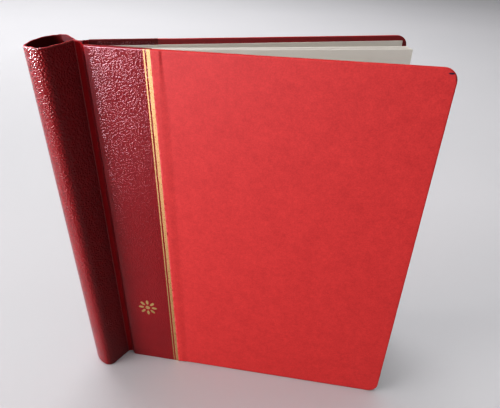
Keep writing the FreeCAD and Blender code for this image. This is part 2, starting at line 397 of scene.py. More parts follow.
# %% [markdown]
# ## Gilt
# The rules and the rosette are gold foil stamped with a hot tool. A yellow paint would stay the same
# from every side. Foil is thin metal, so it is fully metallic and shows its surroundings, and it takes
# up the leather's unevenness: a faint wave, and tiny dull spots where it never took.


# %% Gilt
def gilt_finish():
    material, surface, place = new_finish("gold_foil")
    speck = step(noise(place, 0.6 * MM, 3.0), 0.56, 0.66)
    wave = noise(place, 2.4 * MM)
    body = colours(speck, srgb(146, 116, 80), srgb(110, 75, 45))
    surfaced(surface, body, 0.6 + 0.12 * wave + 0.16 * speck, wave, 0.03 * MM)
    surface["Metallic"].default_value = 1.0
    return material


gold_foil = gilt_finish()
print("gilt:", len(gold_foil.node_tree.nodes), "nodes")

# %% [markdown]
# ## Papers
# The leaves are cream card, the pastedowns a greyer lining paper, and the hollow of the spine is lined
# in dark red. A scanned sheet could be mapped on, but it brings its own light and edges along. Paper
# needs only a slow cloud of tone and a fine tooth of fibres, both noises, and one recipe with different
# colours serves all three.


# %% Papers
def paper_finish(name, light, dark, tooth):
    """Uncoated paper: a cloud of tone, fibres, and a tooth of the given depth."""
    material, surface, place = new_finish(name)
    cloud = noise(place, 30 * MM)
    fibre = noise(place, 0.5 * MM, 3.0)
    body = colours(0.6 * cloud + 0.4 * fibre, dark, light)
    surfaced(surface, body, 0.74 + 0.16 * fibre, fibre, tooth)
    surface["Specular IOR Level"].default_value = 0.25
    return material


leaf_card = paper_finish("leaf_card", srgb(236, 232, 225), srgb(224, 219, 211), 0.02 * MM)
lining_grey = paper_finish("pastedown_grey", srgb(217, 212, 203), srgb(202, 196, 186), 0.02 * MM)
hollow_lining = paper_finish("hollow_lining", srgb(66, 20, 20), srgb(48, 12, 13), 0.03 * MM)
print("papers:", leaf_card.name, lining_grey.name, hollow_lining.name)

# %% [markdown]
# ## Cloth, board and steel
# The cloth of the inner joints and lips is a plain weave. Threads could be modelled, but at half a
# millimetre they are finer than the picture: two waves at right angles give the over and under.
# Board and steel show only at their edges, and each still has its own speckle.

# %% Cloth, board and steel
thread_pitch = 0.5 * MM


def cloth_finish():
    material, surface, place = new_finish("joint_cloth", reads_flat_place=False)
    turns = 2 * math.pi / thread_pitch
    sine = {"operation": "SINE"}
    warp, weft = [place.node("ShaderNodeMath", sine, {0: way * turns}) for way in split(place)[::2]]
    weave = 0.5 + 0.25 * (warp + weft)
    body = colours(weave, srgb(120, 22, 26), srgb(168, 40, 42))
    surfaced(surface, body, 0.8 + 0.1 * weave, weave, 0.06 * MM)
    return material


def speckled_finish(name, roughness, metallic, light, dark, grain_size):
    """Plain stock with a fine speckle, for board and steel."""
    material, surface, place = new_finish(name, reads_flat_place=False)
    surface["Metallic"].default_value = metallic
    speck = noise(place, grain_size, 4.0)
    colours(speck, dark, light).feed(surface["Base Color"])
    (roughness + 0.15 * (speck - 0.5)).feed(surface["Roughness"])
    return material


joint_cloth = cloth_finish()
grey_board = speckled_finish("grey_board", 0.9, 0.0, srgb(150, 140, 124), srgb(120, 110, 96), 1.2 * MM)
blued_steel = speckled_finish("blued_steel", 0.35, 1.0, srgb(120, 124, 134), srgb(96, 100, 110), 3 * MM)
print("stock:", joint_cloth.name, grey_board.name, blued_steel.name)

# %% [markdown]
# ## Strips
# Two kinds of flat stock cover the whole album. The first is the strip: leather over the spine, a rule
# of foil, a leaf. It could be a plane with a Solidify modifier, but a turned-in hide has no even
# thickness. So a strip is one closed loop of (depth, height) points, repeated at stations across it.


# %% Strips
def stitched(flat, rings):
    """Close a row of point rings into a solid: walls between them and a cap at each end."""
    for ring, following in zip(rings, rings[1:]):
        for index, point in enumerate(ring):
            after = (index + 1) % len(ring)
            flat.faces.new((point, ring[after], following[after], following[index]))
    for cap in (rings[0], rings[-1]):
        flat.faces.new(cap)
    return flat


def strip(stations, loop):
    """Closed solid with the same loop of (depth, height) at each station across."""
    flat = bmesh.new()
    return stitched(flat, [[flat.verts.new((across, *point)) for point in loop] for across in stations])


def evenly(low, high, count):
    """Values from low to high, both included."""
    return [low + (high - low) * index / count for index in range(count + 1)]


def plain_loop(deep, high, rows):
    """Loop of a flat strip: up its face in rows, and down its back."""
    heights = evenly(*high, rows)
    return [(deep[0], height) for height in heights] + [(deep[1], height) for height in reversed(heights)]


print("strips ready")

# %% [markdown]
# ## Panels
# The second kind is the panel: what covers a board. A box with a Bevel modifier rounds all its edges
# alike, and a bound cover doesn't: the turn over the joint is full, the others tighter, a butt edge
# square. So a panel is a stack of outlines, each drawn in a little near the two faces.


# %% Outlines
def corner(centre, radius, quarter, steps):
    """Points round one corner of an outline, starting at a quarter turn."""
    angles = evenly(quarter * math.pi / 2, (quarter + 1) * math.pi / 2, steps)
    return [(centre[0] + radius * math.cos(a), centre[1] + radius * math.sin(a)) for a in angles]


def outline(across, high, radii, steps=8):
    """Outline of a panel with four corner radii, from the spine's tail round to the spine's head."""
    points = []
    ends = ((across[0], high[0], 1, 1), (across[1], high[0], -1, 1),
            (across[1], high[1], -1, -1), (across[0], high[1], 1, -1))
    for quarter, radius, (x, z, inward_x, inward_z) in zip((2, 3, 0, 1), radii, ends):
        if radius > 0:
            points += corner((x + inward_x * radius, z + inward_z * radius), radius, quarter, steps)
        else:
            points.append((x, z))
    return points


print("a panel with four round corners has", len(outline((0, 1), (0, 1), [0.1] * 4)), "points round it")

# %% Panels
flat_support = 0.7 * MM
least_radius = 0.05 * MM


def edge_rounds(deep, inner, outer, steps=5):
    """(draw-in, depth) pairs through a panel's thickness, rounded at both faces."""
    turns = evenly(0, math.pi / 2, steps)
    pairs = [(inner + flat_support, deep[0])]
    pairs += [(inner * (1 - math.sin(turn)), deep[0] + inner * (1 - math.cos(turn))) for turn in turns]
    pairs += [(outer * (1 - math.cos(turn)), deep[1] - outer * (1 - math.sin(turn))) for turn in turns]
    return pairs + [(outer + flat_support, deep[1])]


def panel(across, high, rounds, corners, end_share=1.0):
    """Closed solid of stacked outlines. A corner of None marks a butt edge, which isn't drawn in;
    head and tail are drawn in by a share of what the sides are."""
    flat = bmesh.new()
    rings = []
    for draw_in, deep in rounds:
        spine_in, fore_in = [0 if radius is None else draw_in for radius in corners[:2]]
        radii = [0 if radius is None else max(radius - draw_in, least_radius) for radius in corners]
        span = (across[0] + spine_in, across[1] - fore_in)
        rise = (high[0] + end_share * draw_in, high[1] - end_share * draw_in)
        rings.append([flat.verts.new((x, deep, z)) for x, z in outline(span, rise, radii)])
    return stitched(flat, rings)


def sliced(flat, axis, values):
    """Cut a flat solid's faces along planes square to an axis, so that it can bend there."""
    for value in values:
        everything = flat.verts[:] + flat.edges[:] + flat.faces[:]
        bmesh.ops.bisect_plane(flat, geom=everything, plane_co=axis * value, plane_no=axis)


print("panels ready")

# %% [markdown]
# ## Laying flat stock in place
# A binder lays each piece by hand. A Curve or Lattice modifier could bend a flat piece, but a rule in
# Python says exactly where each point goes. `laid` keeps each point's flat place in the attribute,
# moves the point by the rule, turns the faces outwards and makes the object.

# %% Laying
CRISP_ANGLE = math.radians(38)


def finished(mesh, name, material):
    """An object at the origin for a mesh that is already in place; edges past the angle stay crisp."""
    if FLAT_PLACE not in mesh.attributes:
        places = mesh.attributes.new(FLAT_PLACE, "FLOAT_VECTOR", "POINT")
        for vertex, place in zip(mesh.vertices, places.data):
            place.vector = vertex.co
    mesh.materials.clear()
    mesh.materials.append(material)
    mesh.shade_smooth()
    mesh.set_sharp_from_angle(angle=CRISP_ANGLE)
    piece = bpy.data.objects.new(name, mesh)
    scene.collection.objects.link(piece)
    return piece


def laid(flat, name, rule, material):
    """Carry a flat solid's points to their places by a rule and make the piece."""
    layer = flat.verts.layers.float_vector.new(FLAT_PLACE)
    for vertex in flat.verts:
        vertex[layer] = vertex.co
        vertex.co = rule(vertex.co.copy())
    bmesh.ops.recalc_face_normals(flat, faces=flat.faces[:])
    mesh = bpy.data.meshes.new(name)
    flat.to_mesh(mesh)
    flat.free()
    return finished(mesh, name, material)


def stands_for(piece, node, slot):
    """Show a piece in place of a CAD node, which is hidden; slot is not used."""
    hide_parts(node)
    print(piece.name, len(piece.data.polygons), "faces")


def carried(piece, body, node, slot):
    """Let a body carry a piece that stands for a CAD node."""
    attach(piece, body)
    stands_for(piece, node, slot)


print("laying ready")

# %% [markdown]
# ## The covers' own axes
# A cover swings on its hinge and stands at an angle, so its pieces are easiest to think of in its own
# axes: across from the joint edge of its leather, outwards from the hinge, and up. An empty could hold
# the turn, but a finished piece has to sit unturned at the origin, so the turn goes into a rule. The
# frame's joints give the hinge and the angle, and the CAD pieces give every width and depth.

# %% Cover axes
SIDES = {"front": -1, "back": 1}
joints = {joint["name"]: joint for joint in frame["joints"]}
hinge = {}
opening = {}
for side in SIDES:
    cover_joint = joints[side + "_cover_hinge"]
    hinge[side] = Vector((*cover_joint["pos_m"][:2], 0))
    opening[side] = math.radians(-cover_joint["range_deg"][0])


def cover_axes(side):
    """Directions across a cover and outwards from it."""
    turn = opening[side]
    sign = SIDES[side]
    across = Vector((math.cos(turn), sign * math.sin(turn), 0))
    outward = Vector((-math.sin(turn), sign * math.cos(turn), 0))
    return across, outward


def hinge_places(side, piece):
    """Points of a cover's CAD piece, from the hinge."""
    return [vertex.co - hinge[side] for vertex in frame["nodes"][side + "_" + piece].data.vertices]


joint_edge = min(place.dot(cover_axes("front")[0]) for place in hinge_places("front", "leather_strip"))


def cover_span(side, piece):
    """Low and high of a CAD piece across from the joint edge, outwards from the hinge, and up."""
    places = hinge_places(side, piece)
    spans = []
    for axis, start in zip((*cover_axes(side), UP), (joint_edge, 0, 0)):
        reach = [place.dot(axis) - start for place in places]
        spans.append((min(reach), max(reach)))
    return spans


def cover_rule(side):
    """Rule that lays flat stock on a cover: across from its joint edge, outwards, and up."""
    across, outward = cover_axes(side)

    def rule(place):
        return hinge[side] + across * (place.x + joint_edge) + outward * place.y + UP * place.z

    return rule


print("covers stand open by", {side: round(math.degrees(turn), 1) for side, turn in opening.items()})
print("joint edge lies", round(joint_edge / MM, 2), "mm from the hinge line")

# %% [markdown]
# ## Leather on the covers
# A band of leather runs down the spine side of each board and is turned in at head and tail. A panel
# gives each edge its own round: the turn over the joint edge is the fullest, the head and tail turns
# are tighter, and the tail corner is worn round. The butt edge meets the siding paper and stays square.

# %% Cover leather
leather_gauge = 0.55 * MM
joint_round = 1.3 * MM
inner_round = 0.5 * MM
tail_corner = 2.6 * MM
head_corner = 0.4 * MM
end_share = 0.5


def cover_leather(side):
    deep, high = cover_span(side, "leather_strip")[1:]
    butt = cover_span(side, "paper_side")[0][0]
    rounds = edge_rounds(deep, inner_round, joint_round)
    flat = panel((0, butt), high, rounds, (tail_corner, None, None, head_corner), end_share)
    piece = laid(flat, side + "_cover_leather", cover_rule(side), crimson_leather)
    carried(piece, side + "_cover", side + "_leather_strip", "leather")


for side in SIDES:
    cover_leather(side)

# %% [markdown]
# ## Siding paper on the covers
# The paper wraps the rest of the board and its three free edges. Beside the gilt it rides up over the
# hidden lap of the leather, and the edge of that lap shows through as a low ridge. A bump could fake
# it, but the ridge catches light along its whole length, so it is real geometry: the panel is cut into
# narrow bands there, and the rule lets the outer face down past the lap, more sharply near the head.

# %% Cover paper
lap_width = 6.8 * MM
lap_rise = leather_gauge
head_slope = 1.0 * MM
tail_slope = 4.0 * MM
sharpens_from = 0.86
head_cuts = (0.84, 0.98)
paper_edge_round = 0.9 * MM
paper_corner = 8.8 * MM


def smooth(value, low, high):
    """Python's own smooth step, for shaping points."""
    share = min(max((value - low) / (high - low), 0), 1)
    return share * share * (3 - 2 * share)


def siding_rule(side, lap_end, deep, top):
    """Cover rule that lets the paper down past the hidden lap of the leather."""
    middle = (deep[0] + deep[1]) / 2
    lay = cover_rule(side)

    def rule(place):
        slope = tail_slope + (head_slope - tail_slope) * smooth(place.z, sharpens_from * top, top)
        past_lap = smooth(place.x, lap_end - slope, lap_end + slope)
        outer_share = smooth(place.y, middle, deep[1] - paper_edge_round)
        return lay(Vector((place.x, place.y - lap_rise * past_lap * outer_share, place.z)))

    return rule


def cover_paper(side):
    across, deep, high = cover_span(side, "paper_side")
    lap_end = across[0] + lap_width
    top = high[1]
    rounds = edge_rounds(deep, inner_round, paper_edge_round)
    flat = panel(across, high, rounds, (None, paper_corner, paper_corner, None))
    sliced(flat, ACROSS, evenly(lap_end - tail_slope, lap_end + tail_slope, count=16))
    sliced(flat, UP, evenly(head_cuts[0] * top, head_cuts[1] * top, count=10))
    rule = siding_rule(side, lap_end, deep, top)
    piece = laid(flat, side + "_cover_paper", rule, red_siding[side])
    carried(piece, side + "_cover", side + "_paper_side", "siding_paper")


for side in SIDES:
    cover_paper(side)

# %% [markdown]
# ## Gilt rules
# A thin and a thick line of foil run beside the paper and over the head and tail edges. They could be
# painted by the leather's material, but foil stands a little proud. Each is a strip whose loop follows
# the leather's own rounded edge, so that it never floats at the ends.

# %% Rules
thick_rule = 2.8 * MM
thin_rule = 1.0 * MM
foil_gauge = 0.08 * MM
foil_wrap = math.radians(60)


def foil_loop(outer_face, high, edge_round, steps=6):
    """Loop along the cover's face and partly over its rounded head and tail edges."""
    under = []
    over = []
    for end, inward in ((high[0], 1), (high[1], -1)):
        for angle in evenly(foil_wrap, 0, steps)[::inward]:
            deep = outer_face - edge_round * (1 - math.cos(angle))
            z = end + inward * end_share * edge_round * (1 - math.sin(angle))
            under.append((deep, z))
            over.append((deep + foil_gauge * math.cos(angle), z - inward * foil_gauge * math.sin(angle)))
    return under + over[::-1]


def cover_rules(side):
    across, deep = cover_span(side, "rules")[:2]
    loop = foil_loop(deep[0], cover_span(side, "leather_strip")[2], joint_round)
    bands = {
        "_thin_rule": [across[0], across[0] + thin_rule],
        "_thick_rule": [across[1] - thick_rule, across[1]],
    }
    for name, band in bands.items():
        piece = laid(strip(band, loop), side + name, cover_rule(side), gold_foil)
        carried(piece, side + "_cover", side + "_rules", "gilt")


for side in SIDES:
    cover_rules(side)

# %% [markdown]
# ## Pastedowns
# Inside each cover a grey paper hides the board and the raw edges of the turn-ins. It could be a patch
# of colour on the board, but its cut edge shows when the cover opens. So it is a thin panel like the
# others, with edges that are only just broken, because cut paper has no round to speak of.

# %% Pastedowns
cut_round = 0.1 * MM
cut_corner = 0.6 * MM


def pastedown(side):
    across, deep, high = cover_span(side, "pastedown")
    flat = panel(across, high, edge_rounds(deep, cut_round, cut_round, steps=2), [cut_corner] * 4)
    piece = laid(flat, side + "_lining_paper", cover_rule(side), lining_grey)
    carried(piece, side + "_cover", side + "_pastedown", "pastedown_paper")


for side in SIDES:
    pastedown(side)

# %% [markdown]
# ## The spine's outline
# In plan the spine is a C of tangent arcs: a flat lip, a tight bend outwards, a straight wall, a round
# shoulder and a shallow crown. A Bezier curve could be drawn over it, but its length is hard to know,
# and leather is wrapped by length. Here each stretch knows its length, and gives a point and an
# outward direction for any share of it.

# %% Spine sizes
crown_radius = 24.5 * MM
shoulder_radius = 8.0 * MM
bend_radius = 2.0 * MM
spring_gauge = 0.8 * MM
binding_gauge = 0.4 * MM
lip_length = 1.9 * MM
spine_low, spine_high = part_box("spine_leather")
mouth = Vector((spine_high.x - lip_length, (spine_low.y + spine_high.y) / 2, 0))
grip_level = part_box("back_jaw_cheek")[1].y - mouth.y
lip_level = grip_level + binding_gauge + spring_gauge + leather_gauge
print("lips stand", round(2 * lip_level / MM, 2), "mm apart, outer face to outer face")


# %% Stretches
def bent(centre, radius, start, end, hollow=1):
    """A round stretch between two angles; hollow is -1 where its centre lies outside."""

    def place(share):
        angle = start + (end - start) * share
        direction = Vector((math.cos(angle), math.sin(angle), 0))
        return centre + direction * radius, direction * hollow

    return radius * abs(end - start), place


def straight(start, end, outward):
    """A straight stretch."""
    return (end - start).length, lambda share: (start.lerp(end, share), outward)


def front_stretches():
    """Stretches of the front half, from the lip's tip to the middle of the crown."""
    offset = (spine_high.y - spine_low.y) / 2 - shoulder_radius
    crown = ACROSS * (crown_radius - mouth.x + spine_low.x)
    back = math.sqrt((crown_radius - shoulder_radius) ** 2 - offset ** 2)
    shoulder = Vector((crown.x - back, -offset, 0))
    bend = Vector((0, -lip_level - bend_radius, 0))
    span = bend - shoulder
    lean = math.atan2(span.y, span.x) + math.asin((shoulder_radius + bend_radius) / span.length)
    wall_outward = Vector((math.sin(lean), -math.cos(lean), 0))
    wall_start = bend - wall_outward * bend_radius
    wall_end = shoulder + wall_outward * shoulder_radius
    crown_start = math.atan2(shoulder.y - crown.y, shoulder.x - crown.x)
    lip_root = Vector((0, -lip_level, 0))
    return {
        "lip": straight(lip_root + ACROSS * lip_length, lip_root, Vector((0, -1, 0))),
        "bend": bent(bend, bend_radius, math.pi / 2, math.pi / 2 + lean, hollow=-1),
        "wall": straight(wall_start, wall_end, wall_outward),
        "shoulder": bent(shoulder, shoulder_radius, lean - math.pi / 2, crown_start),
        "crown": bent(crown, crown_radius, crown_start, -math.pi),
    }


stretches = front_stretches()
print({name: round(length / MM, 2) for name, (length, place) in stretches.items()})

# %% [markdown]
# ## Wrapping by arc length
# A point of flat leather knows how far it lies from the lip. A Curve modifier could carry it that far
# along a path, but the real spine isn't a perfect tube. This rule walks round the outline, steps
# outwards by the point's depth, raises a fold where the wall meets the bend, and lets the crown flare
# a little towards the head.

# %% Wrapping
crease_width = 0.3 * MM
spine_flare = 2.4 * MM
flare_middle = 0.45
flare_from = 0.2
flare_full = 0.7
half_girth = sum(length for length, place in stretches.values())
crease_arc = stretches["lip"][0] + stretches["bend"][0]


def spine_station(arc):
    """Point and outward direction at an arc length from the front lip's tip."""
    for name, (length, place) in stretches.items():
        if arc <= length or name == "crown":
            return place(arc / length)
        arc -= length


def spine_stations(counts):
    """Arc lengths that divide each stretch evenly."""
    stations = [0.0]
    start = 0.0
    for (length, place), count in zip(stretches.values(), counts):
        stations += evenly(start, start + length, count)[1:]
        start += length
    return stations


def spine_rule(side, rise, fold):
    """Rule that wraps flat stock round one half of the spine, with a fold of the given height."""

    def rule(place):
        point, outward = spine_station(place.x)
        crease = fold * math.exp(-((place.x - crease_arc) / crease_width) ** 2)
        point = point + outward * (place.y + crease * smooth(place.y, -leather_gauge, 0))
        flare = spine_flare * (place.z / spine_head - flare_middle)
        flare *= smooth(place.x, flare_from * half_girth, flare_full * half_girth)
        return mouth + Vector((point.x - flare, -SIDES[side] * point.y, place.z + rise(place)))

    return rule


print("half the spine's girth:", round(half_girth / MM, 1), "mm")

# %% [markdown]
# ## The hide round the spine
# The leather covers the steel outside, rolls over its ends and is turned in by 15 mm, so its loop is a
# hook at head and tail. The rolled rim isn't level: it rises towards the lips, where the hide was
# pulled over the joint, and dips at the crown, where fingers pull the album off a shelf. Sculpting
# would do, but a few heights by arc length, read off one by one, are easier to correct.

# %% Spine hide
wall = leather_gauge + spring_gauge + leather_gauge
turn_in = 15.0 * MM
rim_reach = 25 * MM
# Arc length from the lip and rise, both in millimetres
rim_points = {
    "front": ((0, 0.3), (2.5, 0.9), (4.5, 1.7), (15, 0.8), (27, 0), (30, -0.3), (34, 0.1),
              (40, -0.3), (46, -1), (57, -1.9)),
    "back": ((0, -0.7), (7, -0.7), (10, 0), (17, 1.1), (25, 0.5), (28, 0), (36, -0.4),
             (45, -1.1), (57, -1.9)),
}
roll = wall / 2
roll_steps = 9


def rolled_end(middle, way):
    """Points over a rolled end: way is 1 at the head, going in, and -1 at the tail, coming out."""
    angles = [math.pi * index / roll_steps for index in range(1, roll_steps)]
    return [(roll - way * roll * math.cos(a), middle + way * roll * math.sin(a)) for a in angles]


def leather_loop():
    """Loop of the wrapped leather: outer face, rolled rim, turn-in, and back behind the steel."""
    loop = [(0, z) for z in evenly(roll, spine_head - roll, count=16)]
    loop += rolled_end(spine_head - roll, 1)
    loop += [(wall, z) for z in evenly(spine_head - roll, spine_head - turn_in, count=4)]
    loop += [(leather_gauge, spine_head - turn_in), (leather_gauge, turn_in)]
    loop += [(wall, z) for z in evenly(turn_in, roll, count=4)]
    loop += rolled_end(roll, -1)
    return [(-deep, high) for deep, high in loop]


def rim_rise(side):
    """How far the head of the spine stands off its level, by arc length from the lip."""
    points = rim_points[side]

    def rise(place):
        arc = place.x / MM
        height = points[-1][1]
        for (low, low_rise), (high, high_rise) in zip(points, points[1:]):
            if low <= arc <= high:
                height = low_rise + (high_rise - low_rise) * smooth(arc, low, high)
        return height * MM * smooth(place.z, spine_head - rim_reach, spine_head)

    return rise


spine_reds = (srgb(121, 15, 22), srgb(135, 19, 27))
# The flexed hide's reds are lighter than the spine's: painted light for joints, lips and turn-ins that
# stand in shade
lightened_joint_reds = (srgb(158, 19, 28), srgb(172, 24, 33))
handled_leather = leather_finish(
    "handled_leather", 0.2, 0.3, spine_reds, 1.5 * MM, 0.36 * MM, half_girth)
flexed_leather = leather_finish(
    "flexed_leather", 0.6, 0.06, lightened_joint_reds, 1.35 * MM, 0.12 * MM, half_girth)
print("hide of the spine:", len(leather_loop()), "points round", handled_leather.name)

# %% [markdown]
# ## Leather, spring and lining
# The steel C is what makes the clamp: the lips close by their own spring. Leather covers it and paper
# lines the rest of the hollow. When the jaws open, all three bend together. One wrap from lip to lip
# would be simpler, but a piece can blend across one joint only. One wrap from lip to lip would be
# simpler, but each is made as two halves, which meet at the crown. The lip and the turned-in hide are
# never polished by hands and get the duller finish.

# %% Layer stock
stretch_cuts = (3, 8, 12, 16, 30)
polished_depth = 0.4 * MM
lining_face = 0.3 * MM
hide_fold = 0.3 * MM
spring_start = 0.4 * MM
lining_start = 9.0 * MM
spring_deep = (-leather_gauge, -leather_gauge - spring_gauge)
lining_deep = (leather_gauge - wall, lining_face - wall)
spring_loop = plain_loop(spring_deep, (leather_gauge, spine_head - leather_gauge), rows=16)
lining_loop = plain_loop(lining_deep, (turn_in, spine_head - turn_in), rows=16)
layer_stock = {
    "leather": (leather_loop(), 0.0, hide_fold, handled_leather, "spine_leather", "leather"),
    "spring": (spring_loop, spring_start, 0.0, blued_steel, "spring_back", "spring_steel"),
    "lining": (lining_loop, lining_start, 0.0, hollow_lining, "spine_lining", "lining_paper"),
}
print("layers of the spine:", list(layer_stock))


# %% Spine layers
def spine_layer(layer, side):
    loop, begins, fold, material, node, slot = layer_stock[layer]
    stations = spine_stations(stretch_cuts)
    stations += evenly(crease_arc - 3 * crease_width, crease_arc + 3 * crease_width, count=12)
    flat = strip([begins] + sorted(arc for arc in set(stations) if arc > begins), loop)
    piece = laid(flat, side + "_spine_" + layer, spine_rule(side, rim_rise(side), fold), material)
    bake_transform(piece)
    stands_for(piece, node, slot)
    return piece


def dull_lip_and_turn_in(piece):
    """Give the lip, which bends with the joint, and the turned-in hide the duller finish."""
    piece.data.materials.append(flexed_leather)
    places = piece.data.attributes[FLAT_PLACE].data
    for face in piece.data.polygons:
        spots = [places[point].vector for point in face.vertices]
        on_lip = max(place.x for place in spots) <= crease_arc
        turned_in = max(place.y for place in spots) < -polished_depth
        if on_lip or turned_in:
            face.material_index = 1


def run_on(piece):
    """Let the back half's places run on from the front's, so that its grain is no mirror image."""
    for place in piece.data.attributes[FLAT_PLACE].data:
        across, deep, high = place.vector
        place.vector = (2 * half_girth - across, deep, high)


spine_hides = []
for side in SIDES:
    for layer in layer_stock:
        made = spine_layer(layer, side)
        if layer == "leather":
            spine_hides.append(made)
            dull_lip_and_turn_in(made)
            if side == "back":
                run_on(made)

# %% [markdown]
# ## Joints
# Between spine and cover the leather runs free for a few millimetres and bends. A straight strip would
# look like card. From the lip it starts level, sags into the groove and climbs to the board's edge, an
# S drawn as a Bezier curve. A low fold runs along it close to the lip, where years of opening have
# creased it. The cloth that lines it is laid the same way.

# %% Joint curve
inner_gauge = 0.35 * MM
joint_climb = math.radians(40)
board_step = 1.0 * MM
joint_fold = 0.1 * MM
fold_place = 0.9 * MM
fold_width = 0.35 * MM
hide_drop = 0.2 * MM
lining_drops = (2 * MM, 4 * MM)


def joint_curve(side, start_level, end_out, climb):
    """Bezier from the lip's tip to the cover's joint edge, in plan, as a function of 0 to 1."""
    across, outward = cover_axes(side)
    start = Vector((mouth.x + lip_length, mouth.y + SIDES[side] * start_level, 0))
    end = hinge[side] + across * joint_edge + outward * end_out
    pull = (end - start).length / 3
    second = start + ACROSS * pull
    third = end - (across * math.cos(climb) + outward * math.sin(climb)) * pull

    def place(share):
        rest = 1 - share
        point = start * rest ** 3 + second * (3 * rest ** 2 * share)
        point += third * (3 * rest * share ** 2) + end * share ** 3
        along = (second - start) * rest ** 2 + (third - second) * (2 * rest * share)
        along += (end - third) * share ** 2
        along.normalize()
        return point, Vector((along.y, -along.x, 0)) * -SIDES[side]

    return place, (end - start).length


print("joint strips climb to the boards by", round(math.degrees(joint_climb)), "degrees")


# %% Joint strips
def joint_rule(curve, length, fold, heads):
    """Rule that lays a strip along the joint's curve; its head slopes from the spine's to the cover's."""

    def rule(place):
        share = min(max(place.x / length, 0), 1)
        point, outward = curve(share)
        crease = fold * math.exp(-((place.x - fold_place) / fold_width) ** 2)
        head = heads[0] + (heads[1] - heads[0]) * smooth(share, 0, 1)
        return point + outward * (place.y + crease) + UP * (place.z * head / heads[1])

    return rule


def joint_piece(side, name, node, ends, gauge, fold, heads, material, slot):
    curve, length = joint_curve(side, *ends)
    loop = plain_loop((0, gauge), (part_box(side + node)[0].z, heads[1]), rows=12)
    flat = strip(evenly(0, length, count=16), loop)
    piece = laid(flat, side + name, joint_rule(curve, length, fold, heads), material)
    end = Vector((hinge[side].x + joint_edge, mouth.y, 0))
    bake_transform(piece)
    stands_for(piece, side + node, slot)


for side in SIDES:
    board_level = cover_span(side, "board")[1][0] + board_step
    lining_level = cover_span(side, "pastedown")[1][0]
    hide_heads = (spine_head + rim_points[side][0][1] * MM, cover_top - hide_drop)
    lining_heads = [cover_top - drop for drop in lining_drops]
    hide_ends = (lip_level - leather_gauge, board_level, joint_climb)
    lining_ends = (grip_level, lining_level, 0.0)
    joint_piece(side, "_joint_hide", "_joint_leather", hide_ends, leather_gauge, joint_fold,
                hide_heads, flexed_leather, "leather")
    joint_piece(side, "_joint_lining", "_inner_joint", lining_ends, inner_gauge, 0.0,
                lining_heads, joint_cloth, "binding_cloth")

# %% [markdown]
# ## Leaves
# Twelve cards turn on scored lines just outside the lips. Card is never dead flat, so each page bows a
# little. A cloth simulation could drape them, but stiff card only bows, and a sine does that. The
# frame's own leaf gives its length, height and fan angle, and neighbours share nearly the same bow, so
# that they never cross.

# %% Pages
leaf_names = sorted(name for name in frame["bodies"] if name.startswith("leaf_"))
page_bow = 0.9 * MM
bow_spread = 0.04
bow_order = 2.1
bow_starts = 0.3


def leaf_page(name, index):
    base = Vector((*joints[name + "_turn"]["pos_m"][:2], 0))
    corners = [vertex.co - base for vertex in frame["nodes"][name].data.vertices]
    middle = sum(corners, Vector()) / len(corners)
    along = Vector((middle.x, middle.y, 0)).normalized()
    through = Vector((-along.y, along.x, 0))
    spans = [[place.dot(axis) for place in corners] for axis in (along, through, UP)]
    reach, deep, high = [(min(span), max(span)) for span in spans]
    bow = page_bow * (1 + bow_spread * math.sin(bow_order * index))

    def rule(place):
        share = place.x / reach[1]
        lean = 0.5 + place.z / high[1]
        bend = bow * math.sin(math.pi * share) * smooth(share, 0, bow_starts) * lean
        return base + along * place.x + through * (place.y - bend) + UP * place.z

    flat = strip(evenly(*reach, count=24), plain_loop(deep, high, rows=8))
    carried(laid(flat, name + "_page", rule, leaf_card), name, name, "leaf_paper")


for index, name in enumerate(leaf_names):
    leaf_page(name, index)

# %% [markdown]
# ## Geometry Nodes
# What repeats at an even pitch, or round a circle, is a job for Geometry Nodes: the shape is drawn once
# and instanced on points. A Python loop would do it too, but a tree keeps the count and the sizes as
# named inputs. Each tree ends by realising its instances, and the result becomes a plain mesh.


# %% Geometry Nodes helpers
def node_group(name, inputs):
    """An empty geometry group with named inputs, and a wire from each of them."""
    group = bpy.data.node_groups.new(name, "GeometryNodeTree")
    for label, kind in inputs.items():
        group.interface.new_socket(label, in_out="INPUT", socket_type="NodeSocket" + kind)
    group.interface.new_socket("Geometry", in_out="OUTPUT", socket_type="NodeSocketGeometry")
    entry = group.nodes.new("NodeGroupInput")
    return group, [Wire(group, socket) for socket in entry.outputs[:len(inputs)]]


def gathered(*shapes):
    """Several shapes joined as one."""
    whole = shapes[0].node("GeometryNodeJoinGeometry")
    for shape in shapes:
        shape.feed(whole.socket.node.inputs[0])
    return whole


def close_group(group, shape, material):
    """Realise what the tree made, give it its material and send it out."""
    whole = shape.node("GeometryNodeRealizeInstances", {}, {0: shape})
    dressed = shape.node("GeometryNodeSetMaterial", {}, {"Geometry": whole, "Material": material})
    dressed.feed(group.nodes.new("NodeGroupOutput").inputs[0])
    return group


def grown(group, name, values):
    """Run a geometry group on an empty mesh and return the result as a plain mesh."""
    carrier = bpy.data.objects.new(name, bpy.data.meshes.new(name))
    scene.collection.objects.link(carrier)
    modifier = carrier.modifiers.new("grow", "NODES")
    modifier.node_group = group
    for item in group.interface.items_tree:
        if item.in_out == "INPUT":
            modifier[item.identifier] = values[item.name]
    evaluated = carrier.evaluated_get(bpy.context.evaluated_depsgraph_get())
    mesh = bpy.data.meshes.new_from_object(evaluated)
    bpy.data.objects.remove(carrier)
    return mesh


print("geometry helpers ready")

# %% [markdown]
# ## Leaf margins
# Behind the scored lines the twelve margins lie in the jaws as an even stack, which is all that shows
# of the block from the head. One block with drawn lines would do from afar, but real gaps hold real
# shadows. So one strip of card is instanced on the points of a line, at the pitch of the CAD block.

# %% Margins
leaf_gauge = 0.22 * MM
margin_cuts = {"Vertices X": 4, "Vertices Z": 9}


